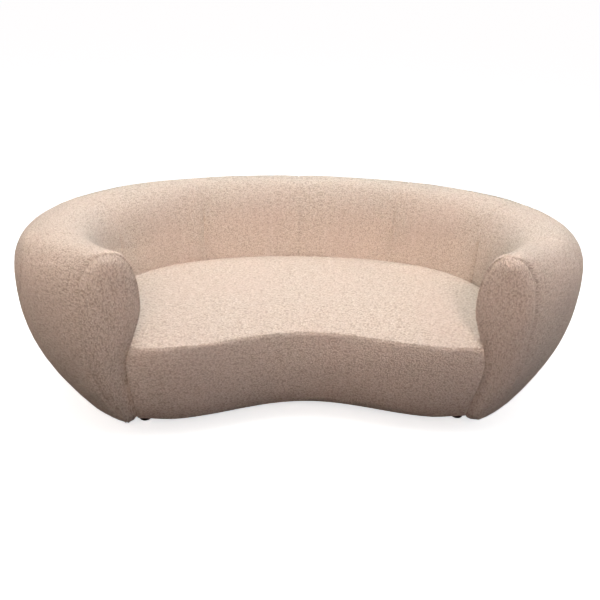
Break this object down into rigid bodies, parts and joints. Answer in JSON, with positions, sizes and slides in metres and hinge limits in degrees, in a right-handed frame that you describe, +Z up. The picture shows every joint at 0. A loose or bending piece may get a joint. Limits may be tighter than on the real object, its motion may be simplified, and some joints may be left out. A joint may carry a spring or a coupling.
{
  "type": "sofa",
  "caption": "Curved upholstered sofa: one horseshoe of back and arms round a tight hollow-fronted seat, on short turned dark wooden legs.",
  "frame": {"origin": "centre of the footprint of the whole sofa, on the floor", "axes": "+X towards the right arm as seen from the front, along the sofa; -Y the front; +Z up"},
  "size_m": [2.2002, 1.0031, 0.7543],
  "materials": {
    "boucle": "nubby looped wool blend",
    "stuffing": "curled hair and cotton felt",
    "hessian": "open plain weave",
    "jute": "tight woven band and laid cord",
    "cambric": "plain black lining cloth",
    "spring_wire": "coppered wire",
    "plated_steel": "zinc plated",
    "stained_beech": "dark stain under satin lacquer",
    "frame_beech": "sawn, unfinished"
  },
  "bodies": {
    "root": {"arm_front_board_left": "frame_beech", "arm_front_board_right": "frame_beech", "arm_front_pad_left": "stuffing", "arm_front_pad_right": "stuffing", "arm_front_panel_left": "boucle", "arm_front_panel_right": "boucle", "back_hessian": "hessian", "back_webbing": "jute", "base_rail_left": "frame_beech", "base_rail_right": "frame_beech", "base_ring": "frame_beech", "centre_back_post": "frame_beech", "corner_blocks": "frame_beech", "cover_arm_left": "boucle", "cover_arm_right": "boucle", "cover_back_inner_left": "boucle", "cover_back_inner_right": "boucle", "cover_back_outer_left": "boucle", "cover_back_outer_right": "boucle", "cover_side_left": "boucle", "cover_side_right": "boucle", "dust_cover": "cambric", "dust_cover_tacks": "plated_steel", "front_rail": "frame_beech", "left_arm_post": "frame_beech", "left_back_post": "frame_beech", "left_corner_post": "frame_beech", "leg_bolts": "plated_steel", "leg_front_left": "stained_beech", "leg_front_right": "stained_beech", "leg_glides": "plated_steel", "leg_rear_left": "stained_beech", "leg_rear_right": "stained_beech", "right_arm_post": "frame_beech", "right_back_post": "frame_beech", "right_corner_post": "frame_beech", "seat_bearer_centre": "frame_beech", "seat_bearer_left": "frame_beech", "seat_bearer_right": "frame_beech", "seat_cover": "boucle", "seat_front_border": "boucle", "seat_front_pad": "stuffing", "seat_hessian": "hessian", "seat_springs": "spring_wire", "seat_stuffing": "stuffing", "seat_webbing_crosswise": "jute", "seat_webbing_lengthwise": "jute", "spring_twine": "jute", "stuffing_arm_left": "stuffing", "stuffing_arm_right": "stuffing", "stuffing_back_inner_left": "stuffing", "stuffing_back_inner_right": "stuffing", "stuffing_back_outer_left": "stuffing", "stuffing_back_outer_right": "stuffing", "stuffing_rail_left": "frame_beech", "stuffing_rail_right": "frame_beech", "stuffing_side_left": "stuffing", "stuffing_side_right": "stuffing", "top_rail_left": "frame_beech", "top_rail_right": "frame_beech"}
  },
  "joints": []
}
